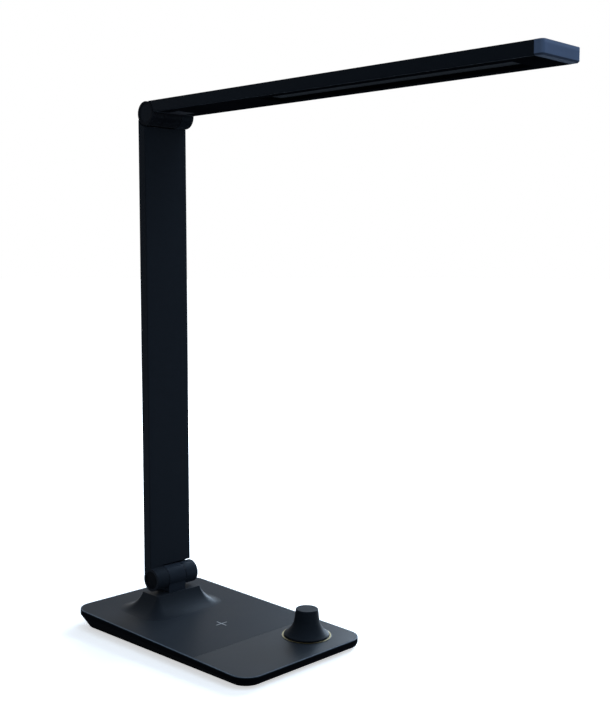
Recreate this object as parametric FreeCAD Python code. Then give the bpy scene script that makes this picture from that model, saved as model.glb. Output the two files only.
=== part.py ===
import FreeCAD, Part
import math
import os

from FreeCAD import Vector

# LED table lamp: a slim wedge base with a charging top and a dial, a flat swing arm
# and a flat light head, joined by two friction hinges that let it fold over the base.
# Frame: +Z up, the head reaches out along -Y, +X is the user's right hand. The origin
# is the centre of the base's footprint, on the table. Lengths are in millimetres.

# Base: outline, wedge heights over its underside, upright rim, undercut, and the rubber it stands on
base_length = 200.0
base_width = 122.4
base_corner_r = 14.5
base_front_h = 6.15
base_rear_h = 11.7
base_rim_h = 4.0
base_under_inset = 1.8
base_under_rear = 10.2
base_under_corner_r = 11.3
base_edge_r = 0.4
stand_h = 2.0
rubber_inset = 14.0
rubber_corner_r = 9.0

# Base: cover, tray and the screws that close them
deck_t = 2.2
cover_wall = 2.0
tray_floor_t = 1.4
tray_lip_t = 1.0
tray_lip_h = 1.4
tray_screw_inset_x = 11.5
tray_screw_inset_y = 10.5
tray_boss_r = 3.0

# Fairing: the raised, hollow-sided foot of the hinge neck
fairing_lift = 13.0
fairing_margin_x = 1.5
fairing_margin_y = 0.9
fairing_corner_r = 1.2
fairing_corner_share = 0.9
fairing_crest_deg = 71.0
fairing_foot_deg = 4.0
fairing_skin = 2.2
fairing_steps = 8

# Front control panel, its dial and the ring round the dial
panel_l = 55.5
panel_inset = 1.2
panel_t = 1.0
dial_side_gap = 30.9
dial_front_gap = 31.7
dial_top_r = 8.3
dial_edge_r = 0.5
dial_h = 20.3
dial_waist_r = 9.45
dial_waist_h = 11.5
dial_flare_r = 11.65
dial_flare_h = 6.3
dial_rim_r = 16.8
dial_rim_t = 0.5
dial_lift = 0.9
dial_skin = 1.7
dial_hub_r = 5.0
dial_roof_t = 2.6
dial_travel = 0.5
ring_r_in = 17.3
ring_r_out = 18.6
ring_seat = 0.6
ring_proud = 0.35

# Dial encoder with its push switch, and the board that carries it
encoder_side = 12.0
encoder_h = 2.6
encoder_floor_t = 0.2
encoder_nose_r = 3.5
encoder_nose_h = 5.0
encoder_shaft_r = 2.5
encoder_shaft_top = 15.0
plunger_r = 2.4
plunger_t = 0.5
control_board_w = 30.0
control_board_l = 24.0
control_board_t = 0.8
control_post_r = 2.0

# Charging coil under the plus mark
mark_share = 0.3813
mark_reach = 5.5
mark_stroke = 0.9
mark_t = 0.3
coil_r_out = 23.0
coil_r_in = 10.0
coil_t = 0.9
ferrite_side = 50.0
ferrite_t = 0.7
ferrite_corner_r = 3.0

# Ballast plate
ballast_t = 2.4
ballast_side_gap = 7.0
ballast_front_gap = 16.0
ballast_rear_gap = 37.0
ballast_corner_r = 8.0
ballast_screw_inset_x = 17.2
ballast_screw_share = 0.38

# Power board and its inlet in the rear wall
power_board_w = 60.0
power_board_l = 20.0
power_board_t = 1.2
power_board_rear_gap = 15.6
power_post_h = 1.2
power_post_r = 2.4
power_post_inset = 3.5
inlet_w = 8.94
inlet_h = 3.26
inlet_l = 11.0
inlet_wall = 0.3
inlet_tongue_w = 6.7
inlet_tongue_t = 0.7
inlet_tongue_l = 5.0
inlet_back_t = 1.5
inlet_setback = 7.6

# Hinges: both have one axis distance from the arm and the head, and one set of pieces
hinge_rear_gap = 47.2
hinge_z = 36.2
hinge_r = 8.9
hinge_slot = 1.0
head_gap = 0.35
knuckle_half = 8.2
washer_t = 0.5
washer_r = 6.6
shaft_r = 4.0
shaft_bore_r = 2.0
shaft_head_r = 6.0
shaft_head_t = 1.6
shaft_end = 0.8
bush_r = 5.0
cup_r = 7.0
cup_depth = 4.2
cap_t = 1.2
cap_recess = 0.5
barrel_web_t = 1.8
spring_t = 0.7
spring_rise = 0.5
spring_r = 6.6
nut_flats = 11.0
nut_t = 3.2

# Neck between the base and the lower hinge
stem_setback = 1.2
neck_foot_half = 19.0
neck_foot_t = 3.0
neck_screw_x = 13.5
neck_screw_y = 4.8

# Arm
arm_w = 40.4
arm_t = 8.45
arm_reach = 361.9
arm_edge_r = 0.8
arm_wall = 1.8
arm_front_t = 1.6
arm_cover_t = 1.6
arm_end_solid = 17.0
arm_boss_x = 11.0
arm_boss_r = 3.2
arm_boss_first = 12.0
arm_boss_pitch = 72.0
lead_r = 1.25
lead_x = 13.5
lead_bend_r = 90.0
lead_cross_half = 60.0

# Head
head_w = 39.6
head_t = 8.6
head_reach = 346.1
head_edge_r = 0.4
head_wall = 1.2
head_top_t = 1.8
head_rear_wall = 3.0
head_cover_t = 2.6
end_cap_l = 5.8
end_cap_corner_r = 2.2
end_cap_chamfer = 0.9
end_cap_plug_l = 6.0
block_l = 24.8
tongue_half = 15.0
tongue_l = 22.0
light_w = 22.0
light_l = 206.0
light_front_gap = 25.3
diffuser_t = 1.2
diffuser_lap = 2.0
led_board_w = 24.0
led_board_t = 1.2
led_board_lap = 4.0
led_rows = 2
led_per_row = 20
led_row_pitch = 8.0
led_w = 2.8
led_l = 3.5
led_t = 0.7
head_screw_inset_x = 5.0
head_screw_inset_y = 12.0
head_boss_r = 2.4

# Screws: three sizes, by shank, with low round heads
small_screw_r = 1.0
small_head_r = 1.9
small_head_h = 0.6
case_screw_r = 1.2
case_head_r = 2.2
case_head_h = 0.8
case_screw_bite = 2.4
frame_screw_r = 1.5
frame_head_r = 2.7
frame_head_h = 1.6
drive_reach_share = 0.6
drive_half_share = 0.13
drive_depth_share = 0.6

# Clearances, and the overrun of every cut
slip = 0.02
running_fit = 0.05
seam = 0.1
loose = 0.25
overrun = 2.0

# Heights and places worked out from the sizes above
half_l = base_length / 2
half_w = base_width / 2
tilt_deg = math.degrees(math.atan2(base_rear_h - base_front_h, base_length))
deck_mid_z = stand_h + (base_front_h + base_rear_h) / 2
floor_z = stand_h + tray_floor_t
ballast_top_z = floor_z + ballast_t
hall_inset = cover_wall + base_under_inset
panel_rear_y = panel_l - half_l
dial_x = half_w - dial_side_gap
dial_y = dial_front_gap - half_l
hinge_y = half_l - hinge_rear_gap
mark_y = panel_rear_y + mark_share * (hinge_y - panel_rear_y)
arm_half = arm_w / 2
arm_back_y = hinge_y + hinge_r
arm_front_y = arm_back_y - arm_t
upper_z = hinge_z + arm_reach
arm_mid_z = hinge_z + arm_reach / 2
head_half = head_w / 2
head_top_z = upper_z + hinge_r
head_under_z = head_top_z - head_t
head_tip_y = hinge_y - head_reach
end_cap_y = head_tip_y + end_cap_l
block_front_y = hinge_y - block_l
light_front_y = head_tip_y + light_front_gap
light_rear_y = light_front_y + light_l
slot_r = hinge_r + hinge_slot
head_end_r = hinge_r + head_gap
joint_x = knuckle_half + washer_t


def box(x0, x1, y0, y1, z0, z1):
    """Block between two opposite corners."""
    return Part.makeBox(x1 - x0, y1 - y0, z1 - z0, Vector(x0, y0, z0))


def rod(r, x, y, z0, z1):
    """Upright cylinder."""
    return Part.makeCylinder(r, z1 - z0, Vector(x, y, z0))


def rod_x(r, x0, x1):
    """Cylinder on the lower hinge's axis."""
    return Part.makeCylinder(r, x1 - x0, Vector(x0, hinge_y, hinge_z), Vector(1, 0, 0))


def outline(x0, x1, y0, y1, r, z):
    """Closed rounded rectangle at height z: quarter arcs joined by straight sides."""
    centres = ((x1 - r, y1 - r), (x0 + r, y1 - r), (x0 + r, y0 + r), (x1 - r, y0 + r))
    arcs = []
    for quarter, (x, y) in enumerate(centres):
        arcs.append(Part.makeCircle(r, Vector(x, y, z), Vector(0, 0, 1), 90 * quarter, 90 * quarter + 90))
    edges = []
    for arc, following in zip(arcs, arcs[1:] + arcs[:1]):
        side = Part.makeLine(arc.valueAt(arc.LastParameter), following.valueAt(following.FirstParameter))
        edges += [arc, side]
    return Part.Wire(edges)


def slab(x0, x1, y0, y1, r, z0, z1):
    """Upright prism on a rounded rectangle."""
    return Part.Face(outline(x0, x1, y0, y1, r, z0)).extrude(Vector(0, 0, z1 - z0))


def moved(shape, x, y, z):
    """Copy of a shape, shifted."""
    copy = shape.copy()
    copy.translate(Vector(x, y, z))
    return copy


def on_deck(shape):
    """Carry a shape drawn over the level plane Z = 0 to the sloping top of the base."""
    copy = shape.copy()
    copy.rotate(Vector(0, 0, 0), Vector(1, 0, 0), tilt_deg)
    copy.translate(Vector(0, 0, deck_mid_z))
    return copy


def other_end(shape):
    """Copy of a piece of the lower hinge, turned end for end to the upper hinge."""
    copy = shape.copy()
    copy.rotate(Vector(0, 0, arm_mid_z), Vector(0, 1, 0), 180)
    return copy


def upside_down(shape):
    """Copy of a shape drawn at the origin, turned over about X."""
    copy = shape.copy()
    copy.rotate(Vector(0, 0, 0), Vector(1, 0, 0), 180)
    return copy


def eased(shape, direction, r):
    """Round the straight edges that run along a direction."""
    edges = []
    for edge in shape.Edges:
        start, end = edge.Vertexes[0].Point, edge.Vertexes[-1].Point
        run = end - start
        if run.Length > r and run.normalize().cross(direction).Length < 1e-6:
            edges.append(edge)
    return shape.makeFillet(r, edges)


def screw(shank_r, head_r, head_h, length):
    """Screw at the origin: its head lies under the plane Z = 0 and its shank goes up."""
    body = joined([rod(head_r, 0, 0, -head_h, 0), rod(shank_r, 0, 0, 0, length)])
    reach, half = head_r * drive_reach_share, head_r * drive_half_share
    foot, depth = -2 * head_h, head_h * drive_depth_share
    across = box(-reach, reach, -half, half, foot, depth - head_h)
    along = box(-half, half, -reach, reach, foot, depth - head_h)
    return body.cut(joined([across, along]))


def joined(solids):
    """One solid from several that touch."""
    return solids[0].multiFuse(solids[1:]).removeSplitter()


def group(solids):
    """Several separate solids kept together."""
    return Part.makeCompound(solids)


def mirrored_places(x, y):
    """Four places, alike in each quarter."""
    return [(sx * x, sy * y) for sx in (-1, 1) for sy in (-1, 1)]


# Places of the screws that close the base, and of its board posts
tray_screw_places = [(side * (half_w - tray_screw_inset_x), y) for side in (-1, 1)
                     for y in (tray_screw_inset_y - half_l, half_l - base_under_rear - tray_screw_inset_y)]
control_posts = [(dial_x + x, dial_y + y) for x, y in mirrored_places(
    control_board_w / 2 - control_post_r, control_board_l / 2 - control_post_r)]
control_board_top = -panel_t - encoder_h
power_board_y1 = half_l - power_board_rear_gap
power_board_y0 = power_board_y1 - power_board_l
power_board_z = floor_z + power_post_h
power_posts = [(x, (power_board_y0 + power_board_y1) / 2 + y) for x, y in mirrored_places(
    power_board_w / 2 - power_post_inset, power_board_l / 2 - power_post_inset)]
inlet_z = power_board_z + power_board_t + inlet_h / 2
neck_screws = [(x, hinge_y + y) for x, y in mirrored_places(neck_screw_x, neck_screw_y)]
ballast_screws = mirrored_places(half_w - ballast_screw_inset_x, half_l * ballast_screw_share)
stem_half_depth = hinge_r - stem_setback


def base_envelope():
    """Outside of the base: an upright rim under the sloping top, drawn in below to the underside."""
    inset = base_under_inset
    lower = outline(-half_w + inset, half_w - inset, -half_l + inset, half_l - inset - base_under_rear,
                    base_under_corner_r, stand_h)
    middle, upper = [on_deck(outline(-half_w, half_w, -half_l, half_l, base_corner_r, z))
                     for z in (-base_rim_h, 0)]
    skin = Part.makeLoft([lower, middle, upper], True, True)
    rim = [edge for edge in skin.Edges if over_deck(edge.CenterOfMass) > -slip]
    return skin.makeFillet(base_edge_r, rim)


def over_deck(point):
    """Height of a point over the sloping top of the base."""
    slope = (base_rear_h - base_front_h) / base_length
    return point.z - deck_mid_z - point.y * slope


def base_hall(inset, z0, z1, rear=0):
    """Room inside the base, drawn over the deck, at a distance from its outline and more at the rear."""
    return slab(-half_w + inset, half_w - inset, -half_l + inset, half_l - inset - rear,
                base_corner_r - inset, z0, z1)


def fairing():
    """Hollow-sided mound over the deck: sections on an arc that steepens up to a crisp crest."""
    crest = math.radians(fairing_crest_deg)
    foot = math.radians(fairing_foot_deg)
    bend_r = fairing_lift / (math.cos(foot) - math.cos(crest))
    sections = []
    for step in range(fairing_steps + 1):
        angle = foot + (crest - foot) * step / fairing_steps
        out = bend_r * (math.sin(crest) - math.sin(angle))
        rise = bend_r * (math.cos(foot) - math.cos(angle))
        half_x = arm_half + fairing_margin_x + out
        half_y = hinge_r + fairing_margin_y + out
        sections.append(outline(-half_x, half_x, hinge_y - half_y, hinge_y + half_y,
                                fairing_corner_r + fairing_corner_share * out, rise))
    return Part.makeLoft(sections, True, False)


def panel_blank(inset, z0, z1):
    """Front zone of the deck, at a distance from its outline and from the rear seam."""
    inside = base_hall(panel_inset + inset, z0, z1)
    front = box(-base_width, base_width, -base_length, panel_rear_y - inset, z0, z1)
    return inside.common(front)


def plus_blank(grow, z0, z1):
    """Plus sign, drawn over the deck."""
    reach, half = mark_reach + grow, mark_stroke / 2 + grow
    across = box(-reach, reach, mark_y - half, mark_y + half, z0, z1)
    along = box(-half, half, mark_y - reach, mark_y + reach, z0, z1)
    return joined([across, along])


def inlet_blank(grow, y0, y1):
    """Flat oval of the power inlet, along Y."""
    half_x, half_z = inlet_w / 2 + grow, inlet_h / 2 + grow
    lying = slab(-half_x, half_x, -half_z, half_z, half_z - slip, 0, y1 - y0)
    lying.rotate(Vector(0, 0, 0), Vector(1, 0, 0), -90)
    return moved(lying, 0, y0, inlet_z)


def base_cover():
    """Top shell of the base with the fairing, open below."""
    hall = base_hall(hall_inset, -base_rear_h, -deck_t, base_under_rear)
    shell = on_deck(joined([fairing(), base_hall(panel_inset, -deck_t, 0)]))
    body = joined([base_envelope(), shell])
    body = body.cut(box(-base_width, base_width, -base_length, base_length, 0, floor_z))
    body = body.cut(on_deck(hall))
    pocket_x = neck_foot_half + seam + loose
    pocket_y = stem_half_depth + seam + loose
    pocket = box(-pocket_x, pocket_x, hinge_y - pocket_y, hinge_y + pocket_y,
                 -base_rear_h, fairing_lift - fairing_skin)
    stem_way = box(-knuckle_half - loose, knuckle_half + loose, hinge_y - stem_half_depth - loose,
                   hinge_y + stem_half_depth + loose, 0, hinge_z)
    body = body.cut(on_deck(pocket)).cut(stem_way)
    half = encoder_side / 2 + loose
    encoder_way = box(dial_x - half, dial_x + half, dial_y - half, dial_y + half, -base_rear_h, 0)
    body = body.cut(on_deck(panel_blank(0, -panel_t, overrun)))
    body = body.cut(on_deck(plus_blank(0, -mark_t, overrun))).cut(on_deck(encoder_way))
    body = body.cut(inlet_blank(loose, power_board_y1 - inlet_l, half_l + overrun))
    posts = [on_deck(rod(control_post_r, x, y, control_board_top, -deck_t)) for x, y in control_posts]
    below_deck = base_envelope().cut(on_deck(base_hall(-overrun, -deck_t / 2, base_rear_h)))
    bosses = [rod(tray_boss_r, x, y, floor_z, deck_mid_z + base_rear_h).common(below_deck)
              for x, y in tray_screw_places]
    body = joined([body] + posts + bosses)
    for x, y in control_posts:
        body = body.cut(on_deck(rod(small_screw_r + slip, x, y, control_board_top - overrun, -deck_t)))
    for x, y in tray_screw_places:
        body = body.cut(rod(case_screw_r + slip, x, y, 0, floor_z + case_screw_bite + seam))
    return body


def base_tray():
    """Floor of the base, with a lip inside the cover, and posts for the power board."""
    floor = base_envelope().common(box(-base_width, base_width, -base_length, base_length, 0, floor_z))
    inset = hall_inset + loose
    rear = base_under_rear
    lip = base_hall(inset, floor_z, floor_z + tray_lip_h, rear).cut(
        base_hall(inset + tray_lip_t, floor_z - overrun, floor_z + tray_lip_h + overrun, rear))
    lip = lip.cut(inlet_blank(loose, power_board_y1 - inlet_l, half_l))
    for x, y in tray_screw_places:
        lip = lip.cut(rod(tray_boss_r + loose, x, y, 0, deck_mid_z))
    posts = [rod(power_post_r, x, y, floor_z, power_board_z) for x, y in power_posts]
    body = joined([floor, lip] + posts)
    thread_z = floor_z - tray_floor_t / 2
    for x, y in power_posts:
        body = body.cut(rod(small_screw_r + slip, x, y, thread_z, power_board_z + overrun))
    for x, y in tray_screw_places:
        body = body.cut(rod(case_screw_r + seam, x, y, 0, floor_z + overrun))
        body = body.cut(rod(case_head_r + seam, x, y, 0, stand_h + case_head_h + slip))
    for x, y in ballast_screws:
        body = body.cut(rod(case_screw_r + seam, x, y, 0, floor_z + overrun))
        body = body.cut(rod(case_head_r + seam, x, y, 0, stand_h + case_head_h + slip))
    return body


def tray_screws(places, length):
    """Screws that enter from under the tray."""
    seat_z = stand_h + case_head_h + slip
    blank = screw(case_screw_r, case_head_r, case_head_h, length)
    return group([moved(blank, x, y, seat_z) for x, y in places])


def rubber_mat():
    """Non-slip sheet under the tray: the face that the lamp stands on."""
    half_x, half_y = half_w - rubber_inset, half_l - rubber_inset
    return slab(-half_x, half_x, -half_y, half_y, rubber_corner_r, 0, stand_h)


def ballast_plate():
    """Steel plate on the tray, open round the control board, with threaded holes."""
    inset = hall_inset + ballast_side_gap
    plate = slab(-half_w + inset, half_w - inset, ballast_front_gap - half_l, half_l - ballast_rear_gap,
                 ballast_corner_r, floor_z, ballast_top_z)
    half_x = control_board_w / 2 + tray_boss_r
    half_y = control_board_l / 2 + tray_boss_r
    plate = plate.cut(box(dial_x - half_x, half_w, dial_y - half_y, dial_y + half_y, 0, deck_mid_z))
    for x, y in neck_screws:
        plate = plate.cut(rod(frame_screw_r + slip, x, y, 0, deck_mid_z))
    for x, y in ballast_screws:
        plate = plate.cut(rod(case_screw_r + slip, x, y, 0, deck_mid_z))
    return plate


def control_panel():
    """Trim plate over the front of the deck, with the dial's hole and the ring's groove."""
    plate = panel_blank(seam, -panel_t, 0)
    plate = plate.cut(rod(encoder_nose_r + seam, dial_x, dial_y, -deck_t, overrun))
    groove = rod(ring_r_out + seam, dial_x, dial_y, -ring_seat, overrun).cut(
        rod(ring_r_in - seam, dial_x, dial_y, -ring_seat - overrun, overrun))
    return on_deck(plate.cut(groove))


def dial_ring():
    """Flat ring let into the panel round the dial."""
    ring = rod(ring_r_out, dial_x, dial_y, -ring_seat, ring_proud).cut(
        rod(ring_r_in, dial_x, dial_y, -ring_seat - overrun, ring_proud + overrun))
    return on_deck(ring)


def on_dial(shape):
    """Carry a shape drawn about Z to the dial's axis."""
    return on_deck(moved(shape, dial_x, dial_y, 0))


def dial_profile(skin, base_h):
    """Half outline of the dial from its rim to its top, drawn in by a skin thickness."""
    waist = Vector(dial_waist_r - skin, 0, dial_waist_h)
    flare = Vector(dial_flare_r - skin, 0, dial_flare_h)
    rim = Vector(dial_rim_r - skin, 0, base_h)
    top = Vector(dial_top_r - skin, 0, dial_h)
    return Part.Arc(rim, flare, waist).toShape(), Part.makeLine(waist, top)


def dial_solid(skin, base_h, foot_h, top_h):
    """Turned solid under the dial's half outline, between two heights."""
    arc, line = dial_profile(skin, base_h)
    rim, top = arc.valueAt(arc.FirstParameter), line.Vertexes[-1].Point
    axis_top, axis_foot = Vector(0, 0, dial_h), Vector(0, 0, foot_h)
    foot = Vector(rim.x, 0, foot_h)
    edges = [arc, line, Part.makeLine(top, axis_top), Part.makeLine(axis_top, axis_foot),
             Part.makeLine(axis_foot, foot), Part.makeLine(foot, rim)]
    solid = Part.Face(Part.Wire(Part.__sortEdges__(edges))).revolve(Vector(0, 0, 0), Vector(0, 0, 1), 360)
    return solid.common(rod(dial_rim_r, 0, 0, foot_h, top_h))


def control_dial():
    """Dial with a flared skirt, hollow below, with a hub on the encoder's shaft."""
    body = dial_solid(0, dial_lift + dial_rim_t, dial_lift, dial_h)
    top_edges = [edge for edge in body.Edges if abs(edge.CenterOfMass.z - dial_h) < slip]
    body = body.makeFillet(dial_edge_r, top_edges)
    hollow = dial_solid(dial_skin, dial_lift, dial_lift - overrun, dial_h - dial_roof_t)
    hub_foot = encoder_nose_h + dial_travel + loose
    hub = rod(dial_hub_r, 0, 0, hub_foot, dial_h - dial_roof_t)
    bore = rod(encoder_shaft_r + slip, 0, 0, 0, encoder_shaft_top + slip)
    return on_dial(joined([body.cut(hollow), hub]).cut(bore))


def encoder_body():
    """Encoder case on its board, with a nose that guides the shaft and a room for the plunger."""
    half = encoder_side / 2
    case = box(-half, half, -half, half, control_board_top, -panel_t)
    nose = rod(encoder_nose_r, 0, 0, -panel_t, encoder_nose_h)
    room = rod(plunger_r + loose, 0, 0, control_board_top + encoder_floor_t, plunger_top() + loose)
    way = rod(encoder_shaft_r + running_fit, 0, 0, plunger_top(), encoder_nose_h + overrun)
    return on_dial(joined([case, nose]).cut(room).cut(way))


def plunger_top():
    """Height of the plunger's face, where the shaft rests."""
    return control_board_top + encoder_floor_t + dial_travel + loose + plunger_t


def switch_plunger():
    """Small disc that the shaft pushes down to work the switch."""
    return on_dial(rod(plunger_r, 0, 0, plunger_top() - plunger_t, plunger_top() - slip))


def encoder_shaft():
    """Shaft between the plunger and the dial's hub."""
    return on_dial(rod(encoder_shaft_r, 0, 0, plunger_top(), encoder_shaft_top))


def control_board():
    """Circuit board hung under the deck."""
    half_x, half_y = control_board_w / 2, control_board_l / 2
    plate = box(dial_x - half_x, dial_x + half_x, dial_y - half_y, dial_y + half_y,
                control_board_top - control_board_t, control_board_top)
    for x, y in control_posts:
        plate = plate.cut(rod(small_screw_r + seam, x, y, -base_rear_h, 0))
    return on_deck(plate)


def control_screws():
    """Screws that hold the control board to the deck's posts."""
    seat = control_board_top - control_board_t
    blank = screw(small_screw_r, small_head_r, small_head_h, control_board_t - control_board_top - deck_t)
    return group([on_deck(moved(blank, x, y, seat)) for x, y in control_posts])


def charging_mark():
    """Plus sign let into the deck over the coil."""
    return on_deck(plus_blank(-slip, -mark_t, 0))


def charging_coil():
    """Flat winding under the deck."""
    disc = rod(coil_r_out, 0, mark_y, -deck_t - coil_t, -deck_t)
    return on_deck(disc.cut(rod(coil_r_in, 0, mark_y, -base_rear_h, 0)))


def ferrite_sheet():
    """Shield under the charging coil."""
    half = ferrite_side / 2
    top = -deck_t - coil_t
    return on_deck(slab(-half, half, mark_y - half, mark_y + half, ferrite_corner_r, top - ferrite_t, top))


def power_board():
    """Board on the tray's rear posts: it feeds the coil, the dial and the head."""
    half = power_board_w / 2
    plate = box(-half, half, power_board_y0, power_board_y1, power_board_z, power_board_z + power_board_t)
    for x, y in power_posts:
        plate = plate.cut(rod(small_screw_r + seam, x, y, 0, deck_mid_z))
    return plate


def power_screws():
    """Screws that hold the power board to the tray's posts."""
    seat = power_board_z + power_board_t
    length = power_board_t + power_post_h
    blank = upside_down(screw(small_screw_r, small_head_r, small_head_h, length))
    return group([moved(blank, x, y, seat) for x, y in power_posts])


def power_inlet():
    """Flat oval low-voltage socket, open to the rear, with a contact tongue."""
    rear = half_l - inlet_setback
    shell = inlet_blank(0, rear - inlet_l, rear)
    shell = shell.cut(inlet_blank(-inlet_wall, rear - inlet_l + inlet_back_t, rear + overrun))
    half_x, half_z = inlet_tongue_w / 2, inlet_tongue_t / 2
    tongue_y = rear - inlet_l + inlet_back_t
    tongue = box(-half_x, half_x, tongue_y, tongue_y + inlet_tongue_l, inlet_z - half_z, inlet_z + half_z)
    return joined([shell, tongue])


def hinge_neck():
    """Cast neck: a foot on the ballast plate, a stem and the middle knuckle of the lower hinge."""
    depth = stem_half_depth
    foot_top = ballast_top_z + neck_foot_t
    foot = box(-neck_foot_half, neck_foot_half, hinge_y - depth, hinge_y + depth, ballast_top_z, foot_top)
    stem = box(-knuckle_half, knuckle_half, hinge_y - depth, hinge_y + depth, ballast_top_z, hinge_z)
    body = joined([foot, stem, rod_x(hinge_r, -knuckle_half, knuckle_half)])
    for x, y in neck_screws:
        body = body.cut(rod(frame_screw_r + seam, x, y, 0, foot_top + overrun))
    return body.cut(rod_x(bush_r, -knuckle_half - overrun, knuckle_half + overrun))


def neck_screw_set():
    """Screws from the neck's foot into the ballast plate."""
    blank = upside_down(screw(frame_screw_r, frame_head_r, frame_head_h, neck_foot_t + ballast_t))
    return group([moved(blank, x, y, ballast_top_z + neck_foot_t) for x, y in neck_screws])


def hinge_bush():
    """Plain bearing in a middle knuckle."""
    return rod_x(bush_r - slip, -knuckle_half, knuckle_half).cut(
        rod_x(shaft_r + running_fit, -knuckle_half - overrun, knuckle_half + overrun))


def disc_spring(x, rise):
    """Cupped spring washer on the hinge's axis, from its inner edge at x."""
    r_in = shaft_r + running_fit
    profile = [Vector(x, r_in, 0), Vector(x + rise, spring_r, 0),
               Vector(x + rise + spring_t, spring_r, 0), Vector(x + spring_t, r_in, 0)]
    face = Part.Face(Part.makePolygon(profile + profile[:1]))
    return moved(face.revolve(Vector(0, 0, 0), Vector(1, 0, 0), 360), 0, hinge_y, hinge_z)


def hinge_pieces():
    """Loose pieces of the lower hinge, by name. The arm's own knuckle is left, the barrel right."""
    bore = rod_x(shaft_r + slip, -arm_w, arm_w)
    washer = rod_x(washer_r, knuckle_half + slip, joint_x - slip).cut(bore)
    other_washer = rod_x(washer_r, -joint_x + slip, -knuckle_half - slip).cut(bore)
    barrel = rod_x(hinge_r, joint_x, arm_half).cut(bore)
    barrel = barrel.cut(rod_x(cup_r, joint_x + barrel_web_t, arm_half + overrun))
    spring_x = joint_x + barrel_web_t + slip
    spring_span = spring_rise + spring_t
    first = disc_spring(spring_x, spring_rise)
    second = disc_spring(spring_x + spring_span + spring_rise + slip, -spring_rise)
    nut_x = spring_x + 2 * spring_span + slip
    corner_r = nut_flats / math.sqrt(3)
    corners = [Vector(nut_x, hinge_y + corner_r * math.cos(turn), hinge_z + corner_r * math.sin(turn))
               for turn in [math.radians(60 * corner) for corner in range(6)]]
    nut = Part.Face(Part.makePolygon(corners + corners[:1])).extrude(Vector(nut_t, 0, 0)).cut(bore)
    head_x = -arm_half + cup_depth
    shaft = joined([rod_x(shaft_head_r, head_x - shaft_head_t, head_x),
                    rod_x(shaft_r, head_x, nut_x + nut_t + shaft_end)])
    shaft = shaft.cut(rod_x(shaft_bore_r, -arm_w, arm_w))
    cap_x = arm_half - cap_recess - cap_t
    caps = [rod_x(cup_r - slip, cap_x, cap_x + cap_t), rod_x(cup_r - slip, -cap_x - cap_t, -cap_x)]
    return {"hinge_shaft": shaft, "friction_washers": group([other_washer, washer]),
            "disc_springs": group([first, second]), "hinge_nut": nut, "hinge_barrel": barrel,
            "hinge_caps": group(caps), "hinge_bush": hinge_bush()}


def arm_boss_places():
    """Places (x, z) of the bosses that hold the rear cover, staggered clear of the lead."""
    first = hinge_z + arm_end_solid + arm_boss_first
    low = [(arm_boss_x, first), (arm_boss_x, first + arm_boss_pitch)]
    return low + [(-x, 2 * arm_mid_z - z) for x, z in low]


def arm_end_cuts():
    """Cuts in the arm at the lower hinge: the way of neck and barrel, the bore, the lead's hole."""
    way = rod_x(slot_r, -joint_x, arm_half + overrun)
    bore = rod_x(shaft_r + slip, -arm_w, -joint_x + overrun)
    cup = rod_x(cup_r, -arm_half - overrun, -arm_half + cup_depth)
    lead_hole = rod(lead_r + loose, -lead_x, lead_y(), hinge_z + shaft_r, hinge_z + arm_end_solid + overrun)
    return [way, bore, cup, lead_hole]


def lead_y():
    """Depth of the lead, midway between the arm's front wall and its rear cover."""
    return (arm_front_y + arm_front_t + arm_back_y - arm_cover_t) / 2


def arm_shell():
    """Front and sides of the arm, with one round knuckle at each end, open at the back."""
    bar = box(-arm_half, arm_half, arm_front_y, arm_back_y, hinge_z, upper_z)
    bar = eased(bar, Vector(0, 0, 1), arm_edge_r)
    knuckle = rod_x(hinge_r, -arm_half, -joint_x)
    body = joined([bar, knuckle, other_end(knuckle)])
    for cut in arm_end_cuts():
        body = body.cut(cut).cut(other_end(cut))
    half = arm_half - arm_wall
    room = box(-half, half, arm_front_y + arm_front_t, arm_back_y + overrun,
               hinge_z + arm_end_solid, upper_z - arm_end_solid)
    body = body.cut(room)
    bosses = []
    for x, z in arm_boss_places():
        bosses.append(Part.makeCylinder(arm_boss_r, arm_t - arm_front_t / 2 - arm_cover_t,
                                        Vector(x, arm_front_y + arm_front_t / 2, z), Vector(0, 1, 0)))
    body = joined([body] + bosses)
    for x, z in arm_boss_places():
        start = Vector(x, arm_front_y + arm_front_t, z)
        body = body.cut(Part.makeCylinder(case_screw_r + slip, arm_t, start, Vector(0, 1, 0)))
    return body


def arm_rear_cover():
    """Plate that closes the back of the arm."""
    half = arm_half - arm_wall - seam
    plate = box(-half, half, arm_back_y - arm_cover_t, arm_back_y,
                hinge_z + arm_end_solid + seam, upper_z - arm_end_solid - seam)
    for x, z in arm_boss_places():
        back = Vector(x, arm_back_y + overrun, z)
        sink = Part.makeCylinder(case_head_r + seam, overrun + case_head_h, back, Vector(0, -1, 0))
        plate = plate.cut(Part.makeCylinder(case_screw_r + seam, arm_t, back, Vector(0, -1, 0))).cut(sink)
    return plate


def arm_screws():
    """Screws that hold the arm's rear cover, flush with its back."""
    length = arm_t - arm_front_t - case_head_h - slip
    blank = screw(case_screw_r, case_head_r, case_head_h - slip, length)
    blank.rotate(Vector(0, 0, 0), Vector(1, 0, 0), 90)
    return group([moved(blank, x, arm_back_y - case_head_h, z) for x, z in arm_boss_places()])


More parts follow.
